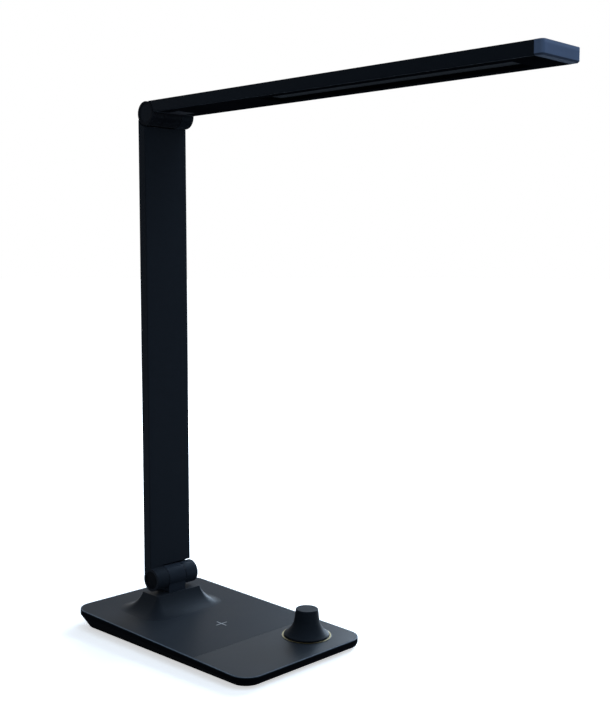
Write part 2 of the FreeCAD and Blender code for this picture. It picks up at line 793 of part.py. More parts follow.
def arm_lead():
    """Round lead inside the arm, from hinge to hinge: it crosses over midway in two large bends."""
    low, high = hinge_z + shaft_r + loose, upper_z - shaft_r - loose
    cross_low, cross_high = arm_mid_z - lead_cross_half, arm_mid_z + lead_cross_half
    lean = math.atan2(2 * lead_x, 2 * lead_cross_half)
    reach = lead_bend_r * math.tan(lean / 2)
    y = lead_y()
    edges = []
    start = Vector(-lead_x, y, low)
    for x, z, before, after in ((-lead_x, cross_low, 0, lean), (lead_x, cross_high, lean, 0)):
        enter = Vector(x - reach * math.sin(before), y, z - reach * math.cos(before))
        leave = Vector(x + reach * math.sin(after), y, z + reach * math.cos(after))
        mean = (before + after) / 2
        side = 1 if after > before else -1
        depth = lead_bend_r / math.cos(lean / 2) - lead_bend_r
        middle = Vector(x + side * depth * math.cos(mean), y, z - side * depth * math.sin(mean))
        edges += [Part.makeLine(start, enter), Part.Arc(enter, middle, leave).toShape()]
        start = leave
    edges.append(Part.makeLine(start, Vector(lead_x, y, high)))
    circle = Part.Wire(Part.makeCircle(lead_r, Vector(-lead_x, y, low), Vector(0, 0, 1)))
    return Part.Wire(edges).makePipeShell([circle], True, False)


def head_housing():
    """Top and sides of the head, open below, with hollowed rear ends round the hinge."""
    body = eased(box(-head_half, head_half, end_cap_y, hinge_y, head_under_z, head_top_z),
                 Vector(0, 1, 0), head_edge_r)
    body = body.cut(other_end(rod_x(head_end_r, -arm_w, arm_w)))
    room = box(-head_half + head_wall, head_half - head_wall, end_cap_y - overrun, head_room_rear(),
               head_under_z - overrun, head_top_z - head_top_t)
    notch = box(-knuckle_half - seam, knuckle_half + seam, block_front_y, arm_back_y,
                head_under_z - overrun, head_top_z + overrun)
    body = body.cut(room).cut(notch)
    ceiling = head_top_z - head_top_t / 2
    bosses = [rod(head_boss_r, x, y, head_under_z + head_cover_t, ceiling) for x, y in head_screw_places()]
    body = joined([body] + bosses)
    for x, y in head_screw_places():
        body = body.cut(rod(small_screw_r + slip, x, y, head_under_z, head_top_z - head_top_t))
    for x, y in tongue_screw_places():
        body = body.cut(rod(frame_screw_r + slip, x, y, head_under_z, head_top_z - head_top_t / 2))
    return body


def head_room_rear():
    """Rear end of the room inside the head."""
    return hinge_y - head_end_r - head_rear_wall


def head_screw_places():
    """Places (x, y) of the screws that hold the head's lower cover."""
    x = head_half - head_screw_inset_x
    front = end_cap_y + head_screw_inset_y
    rear = block_front_y - tongue_l - head_screw_inset_y
    return [(side * x, y) for side in (-1, 1) for y in (front, rear)]


def tongue_screw_places():
    """Places (x, y) of the two screws that hold the hinge block's tongue."""
    x = (knuckle_half + tongue_half) / 2
    return [(side * x, block_front_y - tongue_l / 2) for side in (-1, 1)]


def head_hinge_block():
    """Cast block: the middle knuckle of the upper hinge and a tongue screwed into the head."""
    knuckle = other_end(rod_x(hinge_r, -knuckle_half, knuckle_half))
    body = box(-knuckle_half, knuckle_half, block_front_y + seam, hinge_y, head_under_z, head_top_z)
    tongue_foot = head_under_z + head_cover_t + seam
    tongue_top = head_top_z - head_top_t - slip
    tongue = box(-tongue_half, tongue_half, block_front_y - tongue_l, block_front_y,
                 tongue_foot, tongue_top)
    waist = box(-knuckle_half, knuckle_half, block_front_y - seam, block_front_y + tongue_l / 2,
                tongue_foot, tongue_top)
    body = joined([knuckle, body, waist, tongue])
    body = body.cut(other_end(rod_x(bush_r, -arm_w, arm_w)))
    start = Vector(0, hinge_y - shaft_r, head_lead_z())
    body = body.cut(Part.makeCylinder(lead_r + loose, arm_t + hinge_y, start, Vector(0, -1, 0)))
    for x, y in tongue_screw_places():
        body = body.cut(rod(frame_screw_r + seam, x, y, head_under_z, head_top_z))
        body = body.cut(rod(frame_head_r + seam, x, y, head_under_z, tongue_foot + frame_head_h))
    return body


def tongue_screws():
    """Screws up through the tongue into the head's roof."""
    seat = head_under_z + head_cover_t + seam + frame_head_h
    length = head_top_z - head_top_t / 2 - seat
    blank = screw(frame_screw_r, frame_head_r, frame_head_h - slip, length - slip)
    return group([moved(blank, x, y, seat) for x, y in tongue_screw_places()])


def head_lead_z():
    """Height of the lead inside the head, midway between its cover and its roof."""
    return (head_under_z + head_cover_t + head_top_z - head_top_t) / 2


def head_lead():
    """Lead from the upper hinge to the light board."""
    rear = hinge_y - bush_r - loose
    front = light_rear_y + led_board_lap + slip
    start = Vector(0, rear, head_lead_z())
    return Part.makeCylinder(lead_r - slip, rear - front, start, Vector(0, -1, 0))


def head_lower_cover():
    """Plate that closes the head from below, open over the light."""
    half = head_half - head_wall - seam
    plate = box(-half, half, end_cap_y + seam, head_room_rear() - seam,
                head_under_z, head_under_z + head_cover_t)
    block_half = knuckle_half + seam
    plate = plate.cut(box(-block_half, block_half, block_front_y, arm_back_y, 0, head_top_z))
    plate = plate.cut(box(-light_w / 2, light_w / 2, light_front_y, light_rear_y, 0, head_top_z))
    for x, y in head_screw_places():
        plate = plate.cut(rod(small_screw_r + seam, x, y, 0, head_top_z))
        plate = plate.cut(rod(small_head_r + seam, x, y, 0, head_under_z + small_head_h + slip))
    return plate


def head_screws():
    """Screws that hold the head's lower cover, flush with its underside."""
    seat = head_under_z + small_head_h + slip
    blank = screw(small_screw_r, small_head_r, small_head_h, head_t - head_top_t - small_head_h - 2 * slip)
    return group([moved(blank, x, y, seat) for x, y in head_screw_places()])


def diffuser():
    """Frosted strip behind the opening of the lower cover."""
    half = light_w / 2 + diffuser_lap
    z = head_under_z + head_cover_t
    return box(-half, half, light_front_y - diffuser_lap, light_rear_y + diffuser_lap, z, z + diffuser_t)


def led_board():
    """Metal-backed board under the head's roof."""
    half = led_board_w / 2
    front, rear = light_front_y - led_board_lap, light_rear_y + led_board_lap
    top = head_top_z - head_top_t
    return box(-half, half, front, rear, top - led_board_t, top)


def led_chips():
    """Rows of light chips under the board."""
    top = head_top_z - head_top_t - led_board_t
    pitch = (light_rear_y - light_front_y) / led_per_row
    blank = box(-led_w / 2, led_w / 2, -led_l / 2, led_l / 2, 0, led_t)
    chips = []
    for row in range(led_rows):
        x = (row - (led_rows - 1) / 2) * led_row_pitch
        for place in range(led_per_row):
            y = light_front_y + pitch * (place + 0.5)
            chips.append(moved(blank, x, y, top - led_t))
    return group(chips)


def head_end_cap():
    """Smoky end piece of the head, with rounded upright corners and a bevelled lower edge."""
    cap = box(-head_half, head_half, head_tip_y, end_cap_y, head_under_z, head_top_z)
    uprights = [edge for edge in cap.Edges
                if edge.BoundBox.ZLength > head_t / 2 and abs(edge.CenterOfMass.y - head_tip_y) < slip]
    cap = cap.makeFillet(end_cap_corner_r, uprights)
    lower = [edge for edge in cap.Edges
             if edge.BoundBox.ZMax < head_under_z + slip and edge.BoundBox.YMin < end_cap_y - slip]
    cap = cap.makeChamfer(end_cap_chamfer, lower)
    half = head_half - head_wall - seam
    plug = box(-half, half, end_cap_y - seam, end_cap_y + end_cap_plug_l,
               head_under_z + head_cover_t + seam, head_top_z - head_top_t - seam)
    return joined([cap, plug])


def all_pieces():
    """Every node of the lamp, by name."""
    lower = hinge_pieces()
    pieces = {
        "base_cover": base_cover(),
        "base_tray": base_tray(),
        "rubber_mat": rubber_mat(),
        "ballast_plate": ballast_plate(),
        "tray_screws": tray_screws(tray_screw_places, floor_z + case_screw_bite - stand_h - case_head_h),
        "ballast_screws": tray_screws(ballast_screws, ballast_top_z - stand_h - case_head_h - slip),
        "control_panel": control_panel(),
        "dial_ring": dial_ring(),
        "charging_mark": charging_mark(),
        "charging_coil": charging_coil(),
        "ferrite_sheet": ferrite_sheet(),
        "control_board": control_board(),
        "control_board_screws": control_screws(),
        "encoder_body": encoder_body(),
        "switch_plunger": switch_plunger(),
        "encoder_shaft": encoder_shaft(),
        "control_dial": control_dial(),
        "power_board": power_board(),
        "power_board_screws": power_screws(),
        "power_inlet": power_inlet(),
        "hinge_neck": hinge_neck(),
        "neck_screws": neck_screw_set(),
        "arm_shell": arm_shell(),
        "arm_rear_cover": arm_rear_cover(),
        "arm_screws": arm_screws(),
        "arm_lead": arm_lead(),
        "head_housing": head_housing(),
        "head_hinge_block": head_hinge_block(),
        "hinge_block_screws": tongue_screws(),
        "head_lead": head_lead(),
        "head_lower_cover": head_lower_cover(),
        "head_screws": head_screws(),
        "diffuser": diffuser(),
        "led_board": led_board(),
        "led_chips": led_chips(),
        "head_end_cap": head_end_cap(),
    }
    for name, shape in lower.items():
        pieces["lower_" + name] = shape
        pieces["upper_" + name] = other_end(shape)
    return pieces


os.makedirs("parts", exist_ok=True)
for node, shape in all_pieces().items():
    shape.exportStep("parts/" + node + ".step")
    print(node, len(shape.Solids), round(shape.Volume, 1), shape.isValid())
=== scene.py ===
import math

import bpy
import numpy as np
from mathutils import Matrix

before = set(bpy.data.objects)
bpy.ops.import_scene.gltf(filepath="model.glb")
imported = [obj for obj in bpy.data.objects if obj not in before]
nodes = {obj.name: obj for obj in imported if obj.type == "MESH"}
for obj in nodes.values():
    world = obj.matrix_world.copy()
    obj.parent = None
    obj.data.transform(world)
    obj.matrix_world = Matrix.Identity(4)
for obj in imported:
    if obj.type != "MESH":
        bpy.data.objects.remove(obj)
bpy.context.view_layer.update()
scene = bpy.context.scene
scene.view_settings.view_transform = "Standard"

# Sizes that the finishes follow, in metres, as in the part's source
MM = 0.001
STAND_H = 2.0 * MM
BASE_FRONT_H = 6.15 * MM
BASE_REAR_H = 11.7 * MM
BASE_LENGTH = 200.0 * MM
BASE_WIDTH = 122.4 * MM
BASE_CORNER_R = 14.5 * MM
DECK_MID_Z = STAND_H + (BASE_FRONT_H + BASE_REAR_H) / 2
DECK_SLOPE = (BASE_REAR_H - BASE_FRONT_H) / BASE_LENGTH
DECK_TILT = math.atan(DECK_SLOPE)
DIAL_X = 30.3 * MM
DIAL_Y = -68.3 * MM
MARK_Y = -7.4 * MM
UPPER_Z = 398.1 * MM
HEAD_UNDER_Z = 398.4 * MM
HEAD_TOP_Z = 407.0 * MM

# Bands on single pieces, in metres: the base's rim with its painted highlight and the wall, the slot's lip,
# the ring, and the end piece's bands of painted highlight and painted shade; then the pitch of turned, wound
# and brushed patterns
RIM_HIGHLIGHT_W = 1.2 * MM
RIM_HIGHLIGHT_FADE_SHARE = 0.3
WALL_TOP = -0.6 * MM
DECK_EDGE = -0.2 * MM
LIP_LOW_Z = UPPER_Z - 14.0 * MM
LIP_HIGH_Z = UPPER_Z - 4.0 * MM
LIP_FADE = 1.0 * MM
RING_GOLD_R = 18.2 * MM
RING_FADE = 0.2 * MM
END_UNDER_Z = HEAD_UNDER_Z + 0.9 * MM
END_UNDER_FADE = 0.2 * MM
END_SIDE_X = 18.4 * MM
END_SIDE_FADE = 1.3 * MM
END_CREST_Z = HEAD_TOP_Z - 2.6 * MM
END_CREST_FADE = 1.4 * MM
DIAL_RING_PITCH = 0.35 * MM
COIL_PITCH = 1.1 * MM
BRUSH_PER_METRE = 9000.0

# Where most values of a noise field lie, and of two fields mixed
NOISE_RANGE = (0.3, 0.7)
MIXED_RANGE = (0.35, 0.65)
FINE_SHARE = 0.35

# How far a face turns to the floor or upward before it counts as such, on a scale from -1 to 1
DOWNWARD_RANGE = (-0.45, -0.05)
UPWARD_RANGE = (0.1, 0.3)

# View
CAMERA_PLACE = (-0.54139, -0.61857, 0.28917)
CAMERA_PITCH_DEG = 84.807
CAMERA_TURN_DEG = -46.013
CAMERA_LENS = 55.15
CAMERA_NEAR = 0.01
SENSOR = 36.0

# Light: colours, softboxes in metres and watts, the fill's dim side and levels, the floor's radius and levels
WHITE = (1.0, 1.0, 1.0, 1.0)
COOL = (0.72, 0.9, 1.1, 1.0)
COOL_SHEEN = (0.62, 0.8, 1.0, 1.0)
SOFTBOX_SIZE = 1.0
KEY_PLACE = (0.4, -0.5, 1.7)
KEY_AIM = (0.0, -0.05, 0.1)
KEY_POWER = 10.5
REAR_PLACE = (1.5, 0.42, 0.6)
REAR_AIM = (0.0, -0.05, 0.05)
REAR_POWER = 48.0
DARK_SIDE = (-0.72, 0.69, 0.0)
DARK_SIDE_RANGE = (-0.1, 0.8)
FILL_BRIGHT = 0.693
FILL_DIM = 0.198
OVERHEAD_RANGE = (0.25, 0.7)
FILL_OVERHEAD_SHARE = 0.35
FLOOR_R = 14.0
FLOOR_RINGS = 24
FLOOR_SPOKES = 96
FLOOR_BOUNCE = (0.16, 0.16, 0.16)
FLOOR_SEEN = (0.85, 0.85, 0.85)
FLOOR_GLOW_NEAR = 0.58
FLOOR_NEAR_R = 0.1
FLOOR_FAR_R = 0.36


class Nodes:
    """Node tree of a material or the world, with short ways to add nodes and work out values."""

    def __init__(self, tree):
        self.tree = tree
        tree.nodes.clear()

    def add(self, kind, **settings):
        """New node with its settings."""
        made = self.tree.nodes.new(kind)
        for key, value in settings.items():
            setattr(made, key, value)
        return made

    def join(self, source, target):
        """Link an output to an input."""
        self.tree.links.new(source, target)

    def feed(self, target, value):
        """Give an input a plain value or a link."""
        if isinstance(value, bpy.types.NodeSocket):
            self.join(value, target)
        else:
            target.default_value = value

    def work(self, operation, a, b=0.0, c=0.0):
        """One arithmetic step."""
        made = self.add("ShaderNodeMath", operation=operation)
        for target, value in zip(made.inputs, (a, b, c)):
            self.feed(target, value)
        return made.outputs["Value"]

    def vector_work(self, operation, vector, other=(0.0, 0.0, 0.0)):
        """One step of vector arithmetic that gives a number."""
        made = self.add("ShaderNodeVectorMath", operation=operation)
        self.join(vector, made.inputs[0])
        made.inputs[1].default_value = other
        return made.outputs["Value"]

    def span(self, value, low, high, to_low=0.0, to_high=1.0):
        """Carry a value from one range to another, held at both ends."""
        made = self.add("ShaderNodeMapRange")
        self.join(value, made.inputs["Value"])
        for key, number in (("From Min", low), ("From Max", high), ("To Min", to_low), ("To Max", to_high)):
            made.inputs[key].default_value = number
        return made.outputs["Result"]

    def blend(self, fac, first, second):
        """Colour between two, by a field."""
        made = self.add("ShaderNodeMix", data_type="RGBA")
        self.feed(made.inputs["Factor"], fac)
        for target, value in ((made.inputs[6], first), (made.inputs[7], second)):
            self.feed(target, value if isinstance(value, bpy.types.NodeSocket) else (*value, 1.0))
        return made.outputs[2]

    def coordinate(self, which, vector):
        """One coordinate of a vector."""
        made = self.add("ShaderNodeSeparateXYZ")
        self.join(vector, made.inputs["Vector"])
        return made.outputs[which]

    def seen_rays(self):
        """1 for rays from the eye, in gloss and through glass, and 0 for the rest."""
        path = self.add("ShaderNodeLightPath").outputs
        eye_or_gloss = self.work("MAXIMUM", path["Is Camera Ray"], path["Is Glossy Ray"])
        return self.work("MAXIMUM", eye_or_gloss, path["Is Transmission Ray"])


class Finish(Nodes):
    """Material of one shader, with patterns on Object coordinates, bump and softened edges."""

    def __init__(self, name, **sockets):
        self.material = bpy.data.materials.new(name)
        self.material.use_nodes = True
        super().__init__(self.material.node_tree)
        self.shader = self.add("ShaderNodeBsdfPrincipled")
        output = self.add("ShaderNodeOutputMaterial")
        self.join(self.shader.outputs["BSDF"], output.inputs["Surface"])
        self.place = self.add("ShaderNodeTexCoord").outputs["Object"]
        for socket, value in sockets.items():
            self.shader.inputs[socket.replace("_", " ")].default_value = value

    def axis(self, which):
        """One Object coordinate."""
        return self.coordinate(which, self.place)

    def facing(self):
        """How far the surface faces up: 1 upward, 0 upright and -1 to the floor."""
        return self.coordinate("Z", self.add("ShaderNodeNewGeometry").outputs["Normal"])

    def about_deck(self, x, y):
        """Object coordinates about an axis square to the deck, at a place on the deck."""
        moved = self.add("ShaderNodeMapping", vector_type="POINT")
        self.join(self.place, moved.inputs["Vector"])
        height = DECK_MID_Z + y * math.sin(DECK_TILT)
        moved.inputs["Location"].default_value = (-x, -y * math.cos(DECK_TILT), -height)
        turned = self.add("ShaderNodeMapping", vector_type="POINT")
        self.join(moved.outputs["Vector"], turned.inputs["Vector"])
        turned.inputs["Rotation"].default_value = (-DECK_TILT, 0.0, 0.0)
        return turned.outputs["Vector"]

    def radius(self, vector):
        """Distance from the Z axis: the root of x squared plus y squared."""
        x = self.coordinate("X", vector)
        y = self.coordinate("Y", vector)
        return self.work("SQRT", self.work("MULTIPLY_ADD", x, x, self.work("MULTIPLY", y, y)))

    def noise(self, scale, detail=2.0, rough=0.5, vector=None):
        """Soft random field, about 0.5 on average."""
        made = self.add("ShaderNodeTexNoise")
        self.join(vector or self.place, made.inputs["Vector"])
        for key, number in (("Scale", scale), ("Detail", detail), ("Roughness", rough)):
            made.inputs[key].default_value = number
        return made.outputs["Fac"]

    def brushed(self, vector):
        """Noise that changes with the radius alone, as on a face brushed round its axis."""
        along = self.add("ShaderNodeCombineXYZ")
        self.join(self.work("MULTIPLY", self.radius(vector), BRUSH_PER_METRE), along.inputs["X"])
        return self.noise(1.0, rough=0.6, vector=along.outputs["Vector"])

    def pebbles(self, scale):
        """Distance to the nearest of many scattered points."""
        made = self.add("ShaderNodeTexVoronoi")
        self.join(self.place, made.inputs["Vector"])
        made.inputs["Scale"].default_value = scale
        return made.outputs["Distance"]

    def spread(self, field, to_low=0.0, to_high=1.0):
        """Carry a noise field's usual range to another."""
        return self.span(field, *NOISE_RANGE, to_low, to_high)

    def hidden_lip(self):
        """1 on faces to the floor, and on the lip of the slot under the upper hinge."""
        downward = self.span(self.facing(), *DOWNWARD_RANGE, 1.0, 0.0)
        z = self.axis("Z")
        above = self.span(z, LIP_LOW_Z, LIP_LOW_Z + LIP_FADE)
        below = self.span(z, LIP_HIGH_Z, LIP_HIGH_Z + LIP_FADE, 1.0, 0.0)
        upward = self.span(self.facing(), *UPWARD_RANGE)
        lip = self.work("MULTIPLY", self.work("MULTIPLY", above, below), upward)
        return self.work("MAXIMUM", downward, lip)

    def colour(self, value):
        """Drive the base colour."""
        self.feed(self.shader.inputs["Base Color"], value)

    def roughness(self, value):
        """Drive the roughness."""
        self.feed(self.shader.inputs["Roughness"], value)

    def relief(self, height, depth, edge=0.0):
        """Bump of a given depth, over edges softened by a small radius."""
        bump = self.add("ShaderNodeBump")
        bump.inputs["Distance"].default_value = depth
        self.join(height, bump.inputs["Height"])
        if edge:
            soft = self.add("ShaderNodeBevel", samples=4)
            soft.inputs["Radius"].default_value = edge
            self.join(soft.outputs["Normal"], bump.inputs["Normal"])
        self.join(bump.outputs["Normal"], self.shader.inputs["Normal"])

    def on(self, *names):
        """Put the material on CAD nodes."""
        for name in names:
            slots = nodes[name].data.materials
            slots.clear()
            slots.append(self.material)


def grained(name, dark, light, rough, grain, depth, edge=0.0, patch=40.0, dull_below=False, **sockets):
    """Moulded or coated finish: two near colours in soft patches, uneven gloss and a fine grain; where
    dull_below is set, faces to the floor and the slot's lip lose their gloss."""
    made = Finish(name, **sockets)
    patches = made.noise(patch, detail=3.0)
    fine = made.noise(grain, rough=0.6)
    mixed = made.work("MULTIPLY_ADD", fine, FINE_SHARE, made.work("MULTIPLY", patches, 1.0 - FINE_SHARE))
    made.colour(made.blend(made.span(mixed, *MIXED_RANGE), dark, light))
    gloss = made.spread(patches, *rough)
    if dull_below:
        gloss = made.work("MAXIMUM", gloss, made.hidden_lip())
    made.roughness(gloss)
    made.relief(fine, depth, edge)
    return made


def deck_height(made):
    """Height over the base's sloping top: z less the plane's height at that y."""
    plane = made.work("MULTIPLY_ADD", made.axis("Y"), DECK_SLOPE, DECK_MID_Z)
    return made.work("SUBTRACT", made.axis("Z"), plane)


def base_edge(made):
    """Distance out from the base's outline, a rectangle with round corners; inside it is negative."""
    x = made.work("SUBTRACT", made.work("ABSOLUTE", made.axis("X")), BASE_WIDTH / 2 - BASE_CORNER_R)
    y = made.work("SUBTRACT", made.work("ABSOLUTE", made.axis("Y")), BASE_LENGTH / 2 - BASE_CORNER_R)
    x = made.work("MAXIMUM", x)
    y = made.work("MAXIMUM", y)
    corner = made.work("SQRT", made.work("MULTIPLY_ADD", x, x, made.work("MULTIPLY", y, y)))
    return made.work("SUBTRACT", corner, BASE_CORNER_R)


def cover_satin():
    """Dark satin top with a fine grain and a painted highlight along the rim; the wall below the rim is plain
    black and dull.
    """
    made = Finish("cover_satin", Specular_IOR_Level=0.03, Specular_Tint=COOL_SHEEN)
    patches = made.noise(28.0, detail=3.0)
    fine = made.noise(2600.0, rough=0.6)
    patchy = made.spread(patches)
    top = made.blend(patchy, (0.0127, 0.0155, 0.02), (0.0144, 0.0176, 0.0227))
    wall = made.blend(patchy, (0.00173, 0.00213, 0.0032), (0.00253, 0.00293, 0.00427))
    # Painted highlight: a paler colour along the top edge of the rim
    rim_painted_highlight = (0.08, 0.096, 0.116)
    wall_dullness = 0.6
    above = made.span(deck_height(made), WALL_TOP, DECK_EDGE)
    # Band of the painted highlight, just inside the base's outline on the top
    outer = made.span(base_edge(made), -RIM_HIGHLIGHT_W, -(1.0 - RIM_HIGHLIGHT_FADE_SHARE) * RIM_HIGHLIGHT_W)
    rim = made.work("MULTIPLY", above, outer)
    made.colour(made.blend(rim, made.blend(above, wall, top), rim_painted_highlight))
    gloss = made.spread(patches, 0.41, 0.47)
    made.roughness(made.work("MULTIPLY_ADD", made.work("SUBTRACT", 1.0, above), wall_dullness, gloss))
    made.relief(fine, depth=0.012 * MM, edge=0.3 * MM)
    made.on("base_cover")


def panel_gloss():
    """Glossier front panel, over an even fine grain."""
    made = Finish("panel_gloss", Specular_IOR_Level=0.042, Specular_Tint=COOL_SHEEN)
    patches = made.noise(24.0, detail=3.0)
    fine = made.noise(3200.0, rough=0.6)
    made.colour(made.blend(made.spread(patches), (0.0165, 0.0203, 0.0253), (0.0184, 0.0224, 0.028)))
    made.roughness(made.spread(patches, 0.31, 0.37))
    made.relief(fine, depth=0.002 * MM, edge=0.1 * MM)
    made.on("control_panel")


def dial_black():
    """Black turned dial: fine rings about its axis and a soft sheen."""
    made = Finish("dial_black", Specular_IOR_Level=0.018, Specular_Tint=COOL_SHEEN)
    radius = made.radius(made.about_deck(DIAL_X, DIAL_Y))
    rings = made.work("SINE", made.work("MULTIPLY", radius, 2 * math.pi / DIAL_RING_PITCH))
    fine = made.noise(1800.0)
    made.colour(made.blend(made.spread(fine), (0.0123, 0.0152, 0.0195), (0.0144, 0.0179, 0.0229)))
    made.roughness(made.span(rings, -1.0, 1.0, 0.4, 0.48))
    made.relief(made.work("MULTIPLY_ADD", rings, 0.5, fine), depth=0.006 * MM, edge=0.15 * MM)
    made.on("control_dial")


def ring_gold():
    """Pale gold ring with a dark outer edge, brushed round the dial's axis."""
    made = Finish("ring_gold", Metallic=1.0)
    about = made.about_deck(DIAL_X, DIAL_Y)
    brushed = made.brushed(about)
    gold = made.blend(brushed, (0.113, 0.096, 0.0373), (0.16, 0.133, 0.056))
    edge_dark = (0.0293, 0.0293, 0.024)
    outer = made.span(made.radius(about), RING_GOLD_R, RING_GOLD_R + RING_FADE)
    made.colour(made.blend(outer, gold, edge_dark))
    made.roughness(made.spread(brushed, 0.34, 0.5))
    made.relief(brushed, depth=0.01 * MM, edge=0.1 * MM)
    made.on("dial_ring")


def arm_black():
    """Blasted, black anodised metal of the arm, the head and the upper hinge's caps, faintly blue."""
    made = grained("arm_black", dark=(0.0142, 0.0172, 0.0224), light=(0.0166, 0.0201, 0.026),
                   rough=(0.5, 0.58), grain=3000.0, depth=0.01 * MM, edge=0.2 * MM, patch=12.0,
                   dull_below=True, Specular_IOR_Level=0.018, Specular_Tint=COOL_SHEEN)
    made.on("arm_shell", "arm_rear_cover", "head_housing", "upper_hinge_caps")


def hinge_black():
    """Satin black paint over cast metal, with a faint orange peel; duller at the upper hinge, whose darker
    colours are painted shade from the head.
    """
    peel = dict(grain=900.0, depth=0.014 * MM, edge=0.25 * MM, patch=60.0, dull_below=True)
    lower = grained("hinge_black", dark=(0.0149, 0.0192, 0.0267), light=(0.0184, 0.0233, 0.032),
                    rough=(0.42, 0.5), Specular_IOR_Level=0.03, Specular_Tint=COOL_SHEEN, **peel)
    lower.on("hinge_neck", "lower_hinge_barrel")
    # The upper hinge's darker colours are painted shade from the head above it
    upper = grained("upper_hinge_painted_shade", dark=(0.0104, 0.0117, 0.0152), light=(0.0125, 0.0141, 0.0181),
                    rough=(0.6, 0.7), Specular_IOR_Level=0.02, **peel)
    upper.on("head_hinge_block", "upper_hinge_barrel")


def diffuser_frost():
    """Frosted strip with a fine pebbled optic; its grey colour is painted shade on a white diffuser."""
    made = Finish("diffuser_frost", Specular_IOR_Level=0.0, Roughness=0.9)
    cloud = made.noise(30.0, detail=3.0)
    # Painted shade: the white strip is given a dark grey, as it lies in the head's shadow
    made.colour(made.blend(cloud, (0.0933, 0.0973, 0.104), (0.112, 0.116, 0.123)))
    made.relief(made.pebbles(900.0), depth=0.05 * MM)
    made.on("diffuser")


def end_smoke():
    """Smoky blue end piece with painted highlights at its sides and crest, and dull with painted shade below.
    """
    made = Finish("end_smoke", Specular_IOR_Level=0.03, Specular_Tint=COOL_SHEEN)
    cloud = made.noise(60.0, detail=3.0)
    smoke = made.blend(made.spread(cloud), (0.124, 0.168, 0.27), (0.144, 0.194, 0.311))
    # Painted highlight colour for the sides and crest, and painted shade colour for the underside
    smoke_painted_highlight = (0.25, 0.32, 0.48)
    smoke_painted_shade = (0.0827, 0.104, 0.155)
    painted_highlight_share = 0.5
    under_dullness = 0.4
    z = made.axis("Z")
    # The underside band carries the painted shade and is also duller
    under = made.span(z, END_UNDER_Z, END_UNDER_Z + END_UNDER_FADE, 1.0, 0.0)
    crest = made.span(z, END_CREST_Z, END_CREST_Z + END_CREST_FADE)
    side = made.span(made.work("ABSOLUTE", made.axis("X")), END_SIDE_X, END_SIDE_X + END_SIDE_FADE)
    painted_highlight = made.work("MULTIPLY", made.work("MAXIMUM", side, crest), painted_highlight_share)
    made.colour(made.blend(under, made.blend(painted_highlight, smoke, smoke_painted_highlight), smoke_painted_shade))
    made.roughness(made.work("MULTIPLY_ADD", under, under_dullness, made.spread(cloud, 0.5, 0.58)))
    made.relief(made.noise(700.0), depth=0.004 * MM, edge=0.25 * MM)
    made.on("head_end_cap")


def coil_copper():
    """Flat winding: round turns of enamelled wire about the mark."""
    made = Finish("coil_copper", Metallic=1.0)
    radius = made.radius(made.about_deck(0.0, MARK_Y))
    turns = made.work("ABSOLUTE", made.work("SINE", made.work("MULTIPLY", radius, math.pi / COIL_PITCH)))
    made.colour(made.blend(turns, (0.12, 0.04, 0.015), (0.62, 0.27, 0.12)))
    made.roughness(made.span(turns, 0.0, 1.0, 0.6, 0.28))
    made.relief(turns, depth=0.25 * MM)
    made.on("charging_coil")


def board_green():
    """Solder mask with faint tracks."""
    made = Finish("board_green", Specular_IOR_Level=0.4)
    tracks = made.add("ShaderNodeTexBrick", offset=0.37)
    made.join(made.place, tracks.inputs["Vector"])
    for key, value in (("Scale", 320.0), ("Mortar Size", 0.06), ("Color1", (0.012, 0.11, 0.045, 1.0)),
                       ("Color2", (0.015, 0.13, 0.055, 1.0)), ("Mortar", (0.03, 0.2, 0.09, 1.0))):
        tracks.inputs[key].default_value = value
    made.colour(tracks.outputs["Color"])
    made.roughness(made.spread(made.noise(400.0), 0.25, 0.4))
    made.relief(tracks.outputs["Fac"], depth=0.03 * MM)
    made.on("control_board", "power_board")


def black_mouldings():
    """Black plastic, rubber and ferrite, the leads and painted screws, and the grey mark on the deck."""
    grained("tray_black", dark=(0.00213, 0.00227, 0.00267), light=(0.0032, 0.00347, 0.004),
            rough=(0.9, 1.0), grain=1800.0, depth=0.02 * MM, edge=0.25 * MM,
            Specular_IOR_Level=0.01).on("base_tray")
    grained("rubber_black", dark=(0.008, 0.008, 0.008), light=(0.0133, 0.0133, 0.0133),
            rough=(0.8, 0.9), grain=1200.0, depth=0.06 * MM, edge=0.3 * MM,
            Specular_IOR_Level=0.3).on("rubber_mat")
    grained("mark_grey", dark=(0.133, 0.149, 0.167), light=(0.16, 0.176, 0.195),
            rough=(0.3, 0.4), grain=2400.0, depth=0.01 * MM,
            Specular_IOR_Level=0.3).on("charging_mark")
    grained("under_black", dark=(0.006, 0.00667, 0.00867), light=(0.008, 0.0088, 0.0113),
            rough=(0.9, 1.0), grain=1500.0, depth=0.02 * MM, edge=0.15 * MM,
            Specular_IOR_Level=0.0).on("head_lower_cover", "head_screws")
    grained("cap_black", dark=(0.00373, 0.0048, 0.00667), light=(0.0048, 0.00613, 0.00853),
            rough=(0.6, 0.7), grain=1600.0, depth=0.015 * MM, edge=0.15 * MM,
            Specular_IOR_Level=0.015).on("lower_hinge_caps")
    grained("ferrite_black", dark=(0.03, 0.03, 0.032), light=(0.05, 0.05, 0.053),
            rough=(0.6, 0.75), grain=900.0, depth=0.03 * MM).on("ferrite_sheet")
    grained("encoder_black", dark=(0.015, 0.015, 0.016), light=(0.022, 0.022, 0.023),
            rough=(0.45, 0.55), grain=1500.0, depth=0.02 * MM).on("encoder_body", "switch_plunger")
    grained("lead_black", dark=(0.008, 0.008, 0.008), light=(0.012, 0.012, 0.012),
            rough=(0.6, 0.7), grain=1200.0, depth=0.02 * MM).on("arm_lead", "head_lead")


